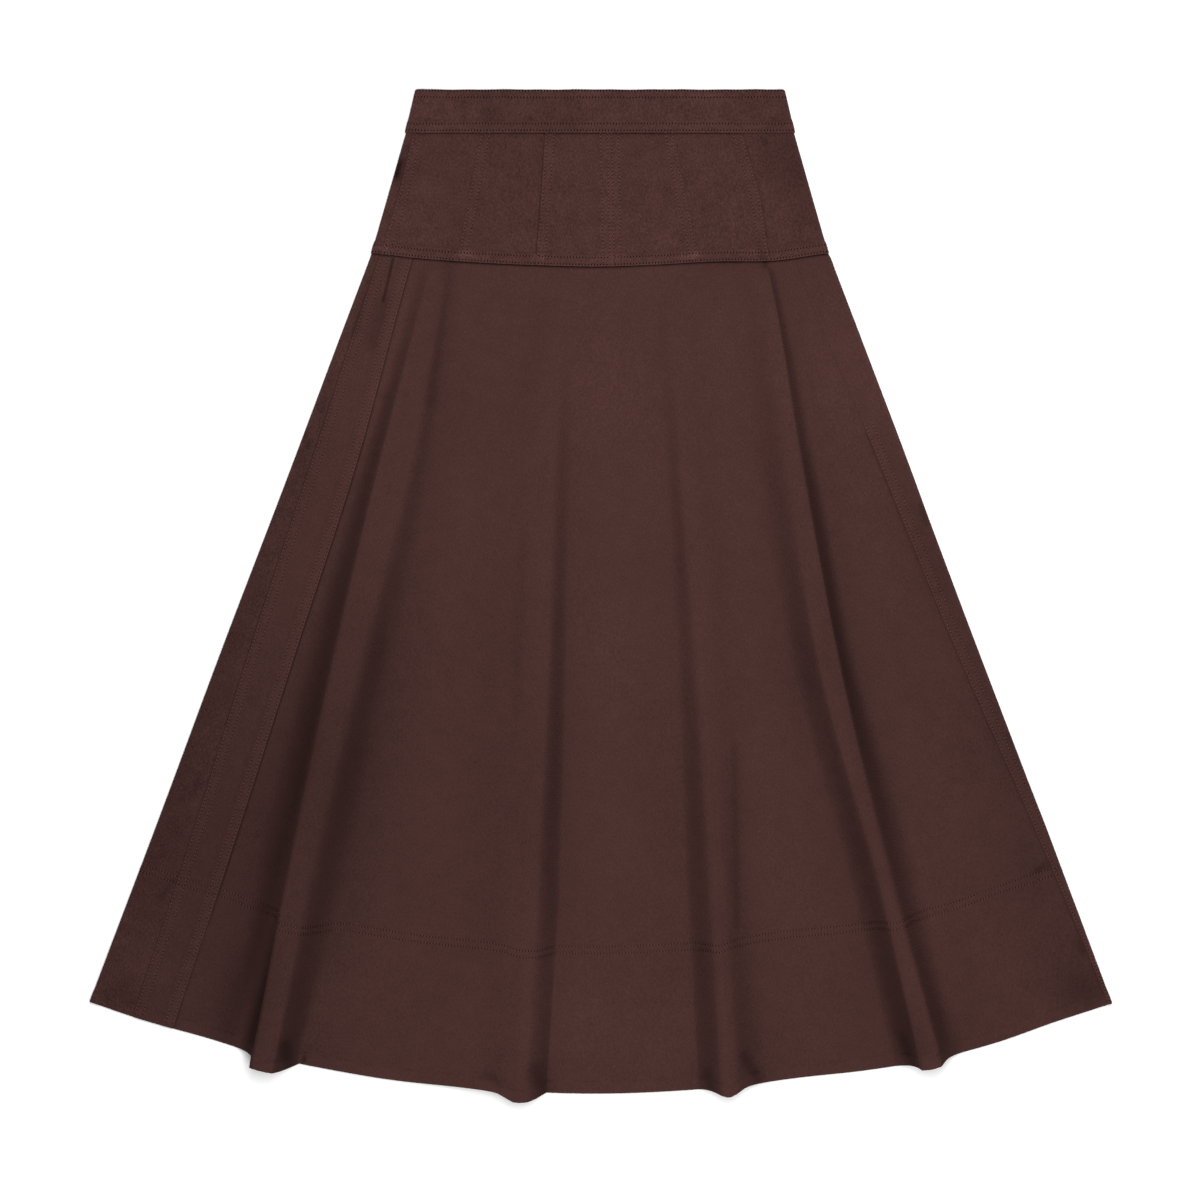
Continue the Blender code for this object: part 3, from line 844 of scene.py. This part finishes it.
def finish_skirt_panel(panel, lapped, plain, lines=(), drawn=0.0):
    """Seams, hem, facing rows and creases that every skirt piece shares. drawn: how much further from the
    hem the facing rows lie than their even distance."""
    for side in lapped:
        panel.lap(side, TWIN_ROWS)
    for side, line in zip(plain, lines):
        panel.tuck_under(side, line)
    top = panel.from_side("top")
    panel.lift *= smooth((top - TUCK) / SKIRT_TOP_FADE)
    turn_hem(panel)
    sew_facing(panel, drawn)
    panel.add_lift(ground_swell(panel.points) * smooth(top / SWELL_FADE))
    press_creases(panel, smooth((top - TUCK) / CREASE_TOP_FADE))
    # Painted light on the hem's rounded edge, and a painted shadow just under the yoke
    panel.shade("hem's painted edge light", panel.from_side("bottom"))
    panel.shade("under the yoke", top - TUCK)


def turn_hem(panel):
    """The turned hem with its one row, which shows in places."""
    hem = panel.from_side("bottom")
    run = panel.from_side("left")
    panel.add_lift(edge("hem's turn", hem - HEM_TURN) + edge("hem's roll", hem))
    panel.lift += ridge("hem's row", hem - HEM_TURN) * (1 + UNEVEN_ROWS * pucker(run, 5))
    uneven = np.clip(HEM_ROW_SHADE + pucker(run / 3, 5 + panel.seed("bottom")), 0, 1)
    # Painted shade in the hem row's groove
    panel.shade("hem's row", hem - HEM_TURN, uneven)
    panel.shade("hem's turn", hem - HEM_TURN / 2)


def sew_facing(panel, drawn):
    """The twin rows that hold the facing, with painted shade where they cross a steep flank."""
    run = panel.from_side("left")
    facing = panel.from_side("bottom") - drawn
    steep = 1 - np.clip(panel.normals()[..., 2], 0, 1)
    for row in FACING_ROWS:
        panel.sew_row("bottom", row, facing, run, drawn)
        dark = np.minimum(FLANK_ROW_DARK * steep, FLANK_ROW_DARKEST)
        panel.shade_and_wear -= dark * bell(facing - row, FLANK_ROW_WIDTH)
    panel.add_lift(ridge("facing rows", facing - sum(FACING_ROWS) / 2))


# Nominal width of the strips' front stretches, and the step of their columns
LEFT_STRIP_SPAN = (38 * MM, 1.2 * MM)
RIGHT_STRIP_SPAN = (30 * MM, 3 * MM)


def strip_panel(name, knots, shares, rows, shows_from):
    """A narrow side strip, lapped over the panels on both sides."""
    around = across(knots, shares)
    v = rows[:, None]
    down = skirt_down(around, v)
    rise = STRIP_RISE * smooth((down - yoke_edge_down(around)) / SKIRT_TOP_FADE)
    panel = Panel(name + "_cloth", name, "strip", laid(around, down, rise))
    panel.shows_from = shows_from
    finish_skirt_panel(panel, ("left", "right"), ())
    return panel


def left_strip_panel():
    """The strip that lies on the front beside the left edge."""
    rows = skirt_rows(STRIP_STEP)
    knots = np.stack((along(SKIRT_SEAMS["left strip outer"], rows),
                      along(SKIRT_SEAMS["left strip inner"], rows)), axis=1)
    return strip_panel("left_strip", knots, (laddered(*LEFT_STRIP_SPAN),), rows, {})


def right_strip_panel():
    """The strip that turns under at the right edge."""
    rows = skirt_rows(STRIP_STEP)
    half = half_width(skirt_down(np.ones_like(rows), rows))
    fold = FOLD_RADIUS / half
    knots = np.stack((along(SKIRT_SEAMS["right strip inner"], rows), 1 - fold, 1 + fold,
                      along(SKIRT_SEAMS["right strip outer"], rows)), axis=1)
    shares = (laddered(*RIGHT_STRIP_SPAN, True, False), even(FOLD_COLUMNS), even(UNDER_COLUMNS))
    return strip_panel("right_strip", knots, shares, rows, {"left": RIGHT_SEAM_SHOWS})


def skirt_back_panel():
    """The plain back, coming round the left edge to the left strip."""
    rows = skirt_rows(BACK_STEP)
    half = half_width(skirt_down(np.ones_like(rows), rows))
    fold = FOLD_RADIUS / half
    shy = TUCK / half
    knots = np.stack((along(SKIRT_SEAMS["right strip outer"], rows) - shy, 3 - fold, 3 + fold,
                      4 + along(SKIRT_SEAMS["left strip outer"], rows) + shy), axis=1)
    around = across(knots, (even(SKIRT_BACK_COLUMNS), even(FOLD_COLUMNS), even(UNDER_COLUMNS)))
    panel = Panel("skirt_back_cloth", "skirt_back", "skirt", laid(around, skirt_down(around, rows[:, None])))
    finish_skirt_panel(panel, (), ("left", "right"), BACK_LINES)
    return panel


def flute_knots(flute, rows):
    """Places around the tube of a flute's feet and brows, one column each."""
    edges = ("left foot", "left brow", "right brow", "right foot")
    return [np.tan(np.radians(along(flute[edge], rows))) / SKIRT_SLOPE for edge in edges]


def flank(t, bends, v):
    """Height share up one flank from foot to brow. bends: softness of both, at the top and the hem."""
    foot = bends[0][0] + (bends[1][0] - bends[0][0]) * v
    brow = bends[0][1] + (bends[1][1] - bends[0][1]) * v
    return 1 - (1 - t[None, :] ** foot) ** brow


def flute_section(flute, v):
    """Height shares of a flute's columns on each row, from its left foot to its right foot."""
    up = np.append(0, even(FLANK_COLUMNS))
    crest = 1 + CREST_SWELL * np.sin(math.pi * even(CREST_COLUMNS))
    right = flank(1 - even(FLANK_COLUMNS), flute["right bend"], v)
    return np.concatenate((flank(up, flute["left bend"], v), crest + 0 * v, right), axis=1)


def flute_points(flute, around, v):
    """Points of a flute: flat places lifted, leaned to one side and drawn out at the hem."""
    share = flute_section(flute, v[:, :1]) * smooth(v * CENTRE_LENGTH / FLUTE_START)
    drawn = np.ones(share.shape[1]) * flute["reach bend"][1]
    drawn[:FLANK_COLUMNS] = flute["reach bend"][0]
    sideways = along(flute["lean"], v) * MM * share
    radius = skirt_radius(around, v)
    angle = np.arctan(around * SKIRT_SLOPE) + sideways / radius
    radius = radius + flute["reach"] * MM * share**drawn * v**REACH_POWER
    z = FRONT_TOP + along(flute["height"], v) * MM * share
    return np.stack((radius * np.sin(angle), WAIST_Y + APEX_ABOVE - radius * np.cos(angle), z), axis=-1)


def skirt_front_panel():
    """The front between the strips, with its flutes."""
    rows = skirt_rows(FRONT_STEP)
    half = half_width(skirt_down(np.ones_like(rows), rows))
    shy = TUCK / half
    knots = [along(SKIRT_SEAMS["left strip inner"], rows) - shy]
    shares = [even(FLAT_COLUMNS[0])]
    for flute, flat in zip(FLUTES, FLAT_COLUMNS[1:]):
        knots += flute_knots(flute, rows)
        shares += [even(FLANK_COLUMNS), even(CREST_COLUMNS), even(FLANK_COLUMNS), even(flat)]
    knots.append(along(SKIRT_SEAMS["right strip inner"], rows) + shy)
    around = across(np.stack(knots, axis=1), shares)
    v = np.repeat(rows[:, None], around.shape[1], axis=1)
    points = laid(around, skirt_down(around, v))
    first = FLAT_COLUMNS[0]
    for flute, flat in zip(FLUTES, FLAT_COLUMNS[1:]):
        last = first + 2 * FLANK_COLUMNS + CREST_COLUMNS
        span = slice(first, last + 1)
        points[:, span] = flute_points(flute, around[:, span], v[:, span])
        first = last + flat
    panel = Panel("skirt_front_cloth", "skirt_front", "skirt", points)
    hem_radius = np.linalg.norm(points[-1, :, :2] - (0, WAIST_Y + APEX_ABOVE), axis=1)
    evened = smooth((around[-1] - LEFT_FLUTE_END) / DRAW_FADE)
    drawn = (hem_radius - skirt_radius(around[-1], 1)) * evened * (1 - FACING_DRAW)
    panel.shows_from = {"right": RIGHT_SEAM_SHOWS}
    finish_skirt_panel(panel, (), ("left", "right"), FRONT_LINES, drawn[None, :])
    panel.paint_fold_shade()
    return panel


# One stitch: a four-sided thread lozenge. Places along it and thickness there, in shares of its size, and
# how deep its two ends sink in
STITCH_RINGS = ((-0.5, 0.0), (-0.3, 0.8), (0.0, 1.0), (0.3, 0.8), (0.5, 0.0))
STITCH_END_SINK = 0.35
# One needle hole, a dark cap of painted shadow: its peak and its foot, in shares of its height
HOLE_PEAK = 0.3
HOLE_FOOT = -0.1


def stitch_template():
    """Vertices and faces of one stitch."""
    verts = []
    faces = []
    for where, fat in STITCH_RINGS:
        if fat == 0:
            verts.append((where, 0.0, -STITCH_END_SINK))
            continue
        verts += [(where, 0.5 * fat * math.cos(turn), 0.5 * fat * math.sin(turn))
                  for turn in (math.pi / 4 + math.pi / 2 * corner for corner in range(4))]
    for corner in range(4):
        following = (corner + 1) % 4
        faces.append((0, 1 + following, 1 + corner))
        faces.append((5 + corner, 1 + corner, 1 + following))
        faces.append((5 + corner, 1 + following, 5 + following))
        faces.append((9 + corner, 5 + corner, 5 + following))
        faces.append((9 + corner, 5 + following, 9 + following))
        faces.append((13, 9 + corner, 9 + following))
    return np.array(verts), np.array(faces)


def hole_shadow_template():
    """Vertices and faces of one needle hole's painted shadow: a low four-sided cap."""
    corners = ((-0.5, 0.0), (0.0, -0.5), (0.5, 0.0), (0.0, 0.5))
    verts = [(0.0, 0.0, HOLE_PEAK)] + [(x, y, HOLE_FOOT) for x, y in corners]
    faces = [(0, 1, 2), (0, 2, 3), (0, 3, 4), (0, 4, 1)]
    return np.array(verts), np.array(faces)


def read_off(places, length, values):
    """Rows of values at some places along a length."""
    return np.stack([np.interp(places, length, column) for column in values.T], axis=1)


def copies_on(points, normals, template, pitch, size, offset, first):
    """Corners and faces of one small form repeated along a sewn row, from a first distance on."""
    length = np.concatenate(((0,), np.cumsum(np.linalg.norm(np.diff(points, axis=0), axis=1))))
    count = int(length[-1] / pitch) - 1
    middles = (np.arange(count) + 0.5 + offset) * pitch
    middles = middles[middles >= first]
    at = read_off(middles, length, points)
    ahead = unit(read_off(middles + STITCH_AHEAD, length, points) - at)
    normal = read_off(middles, length, normals)
    normal = unit(normal - (normal * ahead).sum(axis=1, keepdims=True) * ahead)
    axes = np.stack((ahead, np.cross(normal, ahead), normal), axis=1)
    verts, faces = template
    corners = at[:, None] + (verts * size) @ axes
    shifts = len(verts) * np.arange(len(at))[:, None, None]
    return corners.reshape(-1, 3), (faces + shifts).reshape(-1, 3)


def sew(name, slot, panels, material, template, sizes, offset):
    """One small form along every sewn row of some panels, joined as one piece. sizes: on seams, and on
    the rows that run round."""
    corners = []
    faces = []
    total = 0
    for panel in panels:
        for side, distance in panel.rows:
            round_row = side in ("top", "bottom")
            pitch = ROUND_PITCH if round_row else SEAM_PITCH
            first = panel.shows_from.get(side, 0.0)
            path = panel.path(side, distance)
            made, used = copies_on(*path, template, pitch, sizes[round_row], offset, first)
            corners.append(made)
            faces.append(used + total)
            total += len(made)
    corners = np.concatenate(corners)
    corners[:, 2] = np.maximum(corners[:, 2], 0)
    mesh = bpy.data.meshes.new(name)
    mesh.from_pydata(corners.tolist(), [], np.concatenate(faces).tolist())
    mesh.shade_smooth()
    mesh.materials.append(material)
    piece = place(name, mesh)
    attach(piece, "root")
    return piece


def link(tree, *pairs):
    """Join sockets, output first."""
    for out, into in pairs:
        tree.links.new(out, into)


def set_inputs(node, values):
    """Constant values on a node's sockets, by name."""
    for name, value in values.items():
        node.inputs[name].default_value = value


def add_node(tree, kind, values):
    """A new shader node with constant values on its sockets."""
    node = tree.nodes.new("ShaderNode" + kind)
    set_inputs(node, values)
    return node


def math_node(tree, operation, first, second, third=None):
    """One sum on values or sockets."""
    node = tree.nodes.new("ShaderNodeMath")
    node.operation = operation
    for slot, value in enumerate((first, second, third)):
        if value is None:
            continue
        if isinstance(value, (int, float)):
            node.inputs[slot].default_value = value
        else:
            link(tree, (value, node.inputs[slot]))
    return node.outputs[0]


def vary(tree, tone, texture, amount):
    """A tone made lighter and darker by a texture, by half an amount at most."""
    return math_node(tree, "MULTIPLY_ADD", texture, amount, math_node(tree, "ADD", tone, -amount / 2))


def noise(tree, coordinates, scale, detail, stretch=None, turn=0.0):
    """A noise value over object coordinates, scale per metre, stretched and turned if asked."""
    node = add_node(tree, "TexNoise", {"Scale": scale, "Detail": detail})
    if stretch:
        mapping = add_node(tree, "Mapping", {"Scale": stretch, "Rotation": (0, 0, turn)})
        link(tree, (coordinates, mapping.inputs["Vector"]))
        coordinates = mapping.outputs["Vector"]
    link(tree, (coordinates, node.inputs["Vector"]))
    return node.outputs["Fac"]


def new_material(name):
    """A material with nodes, its tree, its shader and the object's coordinates."""
    material = bpy.data.materials.new(name)
    material.use_nodes = True
    tree = material.node_tree
    coordinates = tree.nodes.new("ShaderNodeTexCoord").outputs["Object"]
    return material, tree, tree.nodes["Principled BSDF"], coordinates


def dye(tree, shader, colour, tone):
    """A colour times a tone, as the shader's base colour."""
    tint = tree.nodes.new("ShaderNodeMix")
    tint.data_type = "RGBA"
    tint.blend_type = "MULTIPLY"
    set_inputs(tint, {"Factor": 1.0, "A": colour})
    link(tree, (tone, tint.inputs["B"]), (tint.outputs["Result"], shader.inputs["Base Color"]))


# Textures of the twill, in grains per metre, and how much the broad ones, the fluff and the ribs shade it
BROAD = {"scale": 9, "detail": 2}
CLOUDS = {"scale": 70, "detail": 3}
GRAIN = {"scale": 850, "detail": 3, "stretch": (1.0, 0.6, 1.0), "turn": 0.7}
FLUFF = {"scale": 1500, "detail": 2}
RIBS = {"Scale": 260, "Distortion": 1.2, "Detail": 2}
BROAD_SHADE = 0.20
FLUFF_SHADE = 0.8
RIB_SHADE = 0.10
# How much each point's painted shade and light, with some real wear, change the tone, and the darkest it may
# go
SHADE_AND_WEAR_SCALE = 0.6
DARKEST = 0.08
# Height of the grain, the fluff and the ribs in the cloth's fine relief
GRAIN_HEIGHT = 0.6
FLUFF_HEIGHT = 0.3
RIB_HEIGHT = 0.5
TWILL_BUMP = {"Strength": 0.5, "Distance": 0.25 * MM}
TWILL_SURFACE = {"Roughness": 0.88, "Specular IOR Level": 0.06, "Sheen Weight": 0.015,
                 "Sheen Roughness": 0.45, "Sheen Tint": (0.75, 0.52, 0.45, 1.0)}
THREAD_TWIST = {"scale": 900, "detail": 2}
THREAD_SHADE = 0.5
THREAD_ROUGHNESS = 0.7


def twill(name, colour, clouds, grain):
    """Brushed cotton twill: cloudy dye, fine diagonal ribs, a short nap, and each point's painted shade and
    light, with real wear at worn edges. clouds and grain: strength of the cloudy dye and of the fine grain."""
    material, tree, shader, coordinates = new_material(name)
    broad = noise(tree, coordinates, **BROAD)
    cloudy = noise(tree, coordinates, **CLOUDS)
    grained = noise(tree, coordinates, **GRAIN)
    fluff = noise(tree, coordinates, **FLUFF)
    ribs = add_node(tree, "TexWave", RIBS)
    ribs.bands_direction = "DIAGONAL"
    link(tree, (coordinates, ribs.inputs["Vector"]))
    shade_and_wear = tree.nodes.new("ShaderNodeAttribute")
    shade_and_wear.attribute_name = "shade_and_wear"
    tone = math_node(tree, "MULTIPLY_ADD", broad, BROAD_SHADE, 1 - BROAD_SHADE / 2)
    tone = vary(tree, tone, cloudy, clouds)
    tone = vary(tree, tone, grained, grain)
    tone = vary(tree, tone, fluff, FLUFF_SHADE)
    tone = vary(tree, tone, ribs.outputs["Fac"], RIB_SHADE)
    # Painted shade and painted light per point, with some real wear, scale the tone
    worn = math_node(tree, "MULTIPLY_ADD", shade_and_wear.outputs["Fac"], SHADE_AND_WEAR_SCALE, 1.0)
    tone = math_node(tree, "MULTIPLY", tone, math_node(tree, "MAXIMUM", worn, DARKEST))
    dye(tree, shader, colour, tone)
    set_inputs(shader, TWILL_SURFACE)
    fluffed = math_node(tree, "MULTIPLY", fluff, FLUFF_HEIGHT)
    relief = math_node(tree, "MULTIPLY_ADD", grained, GRAIN_HEIGHT, fluffed)
    relief = math_node(tree, "MULTIPLY_ADD", ribs.outputs["Fac"], RIB_HEIGHT, relief)
    bump = add_node(tree, "Bump", TWILL_BUMP)
    link(tree, (relief, bump.inputs["Height"]), (bump.outputs["Normal"], shader.inputs["Normal"]))
    return material


def thread_material(name, colour, gloss):
    """Matt tone-on-tone sewing thread with a slight twist; also the near-black painted shadow of the needle
    holes.
    """
    material, tree, shader, coordinates = new_material(name)
    twist = noise(tree, coordinates, **THREAD_TWIST)
    dye(tree, shader, colour, math_node(tree, "MULTIPLY_ADD", twist, THREAD_SHADE, 1 - THREAD_SHADE / 2))
    set_inputs(shader, {"Roughness": THREAD_ROUGHNESS, "Specular IOR Level": gloss})
    return material


# The studio: a large floor that glows faintly, one softbox overhead and an even sky
FLOOR_SIDE = 30
FLOOR_SURFACE = {"Base Color": (0.93, 0.93, 0.93, 1.0), "Roughness": 0.9,
                 "Emission Color": (1.0, 1.0, 1.0, 1.0), "Emission Strength": 0.14}
SOFTBOX_PLACE = (0.1, 0.05, 1.35)
SOFTBOX_SIZE = (0.8, 1.8)
SOFTBOX_WATTS = 31.5
SKY = {"Color": (1, 1, 1, 1), "Strength": 0.13}


def floor():
    """Plain near-white surface that the skirt lies on."""
    bpy.ops.mesh.primitive_plane_add(size=FLOOR_SIDE, location=(0, 0, 0))
    ground = bpy.context.object
    ground.name = "ground"
    material = bpy.data.materials.new("ground")
    material.use_nodes = True
    set_inputs(material.node_tree.nodes["Principled BSDF"], FLOOR_SURFACE)
    ground.data.materials.append(material)


def softbox():
    """A large light facing straight down."""
    data = bpy.data.lights.new("overhead", "AREA")
    data.shape = "RECTANGLE"
    data.size, data.size_y = SOFTBOX_SIZE
    data.energy = SOFTBOX_WATTS
    light = place("overhead", data)
    light.location = SOFTBOX_PLACE
    light.visible_camera = False


def studio():
    """Camera straight above, soft light from overhead and an even sky."""
    data = bpy.data.cameras.new("camera")
    data.sensor_width = SENSOR
    data.lens = SENSOR * CAMERA_HEIGHT / FRAME_SIDE
    camera = place("camera", data)
    camera.location = (0, WAIST_Y - (PHOTO_MIDDLE - PHOTO_WAIST) * PIXEL, CAMERA_HEIGHT)
    bpy.context.scene.camera = camera
    softbox()
    world = bpy.data.worlds.new("studio")
    bpy.context.scene.world = world
    world.use_nodes = True
    set_inputs(world.node_tree.nodes["Background"], SKY)
    bpy.context.scene.view_settings.view_transform = "Standard"


# The twill's three looks: its colour, and the strength of its clouds and its grain
TWILLS = {
    "brown_twill": ((0.0500, 0.0214, 0.0189, 1.0), 0.22, 0.85),
    "brown_twill_pressed": ((0.0507, 0.0217, 0.0192, 1.0), 0.5, 1.6),
    "brown_twill_band": ((0.0525, 0.0225, 0.0199, 1.0), 0.6, 1.7),
}
THREAD = ((0.110, 0.046, 0.040, 1.0), 0.15)
# Near-black colour of the needle hole caps: painted shadow for the shade inside each hole
NEEDLE_HOLE_SHADOW = ((0.004, 0.002, 0.002, 1.0), 0.0)


def cloth_of(panel):
    """Name of a panel's twill: the yoke and the back are pressed flatter, and the band is double."""
    if panel.slot == "waistband":
        return "brown_twill_band"
    if panel.slot == "yoke" or panel.node == "skirt_back":
        return "brown_twill_pressed"
    return "brown_twill"


floor()
band = [waistband_panel()]
yoke = list(yoke_panels())
skirt = [skirt_front_panel(), skirt_back_panel(), left_strip_panel(), right_strip_panel()]
cloths = {name: twill(name, *look) for name, look in TWILLS.items()}
for panel in band + yoke + skirt:
    paint_broad_light_and_shade(panel)
    panel.make(cloths[cloth_of(panel)])
thread = thread_material("brown_thread", *THREAD)
# The needle holes are dark caps of painted shadow
needle_hole_shadow = thread_material("needle_hole_shadow", *NEEDLE_HOLE_SHADOW)
for slot, panels, width, hole in (("waistband", band, STITCH_WIDTH, ROUND_HOLE),
                                  ("yoke", yoke, STITCH_WIDTH, ROUND_HOLE),
                                  ("skirt", skirt, FINE_STITCH_WIDTH, FACING_HOLE)):
    stitches = ((STITCH_SHARE * SEAM_PITCH, width, STITCH_HEIGHT),
                (STITCH_SHARE * ROUND_PITCH, FINE_STITCH_WIDTH, STITCH_HEIGHT))
    sew(slot + "_stitches", slot, panels, thread, stitch_template(), stitches, 0)
    sew(slot + "_needle_hole_shadows", slot, panels, needle_hole_shadow, hole_shadow_template(), (SEAM_HOLE, hole), 0.5)
studio()
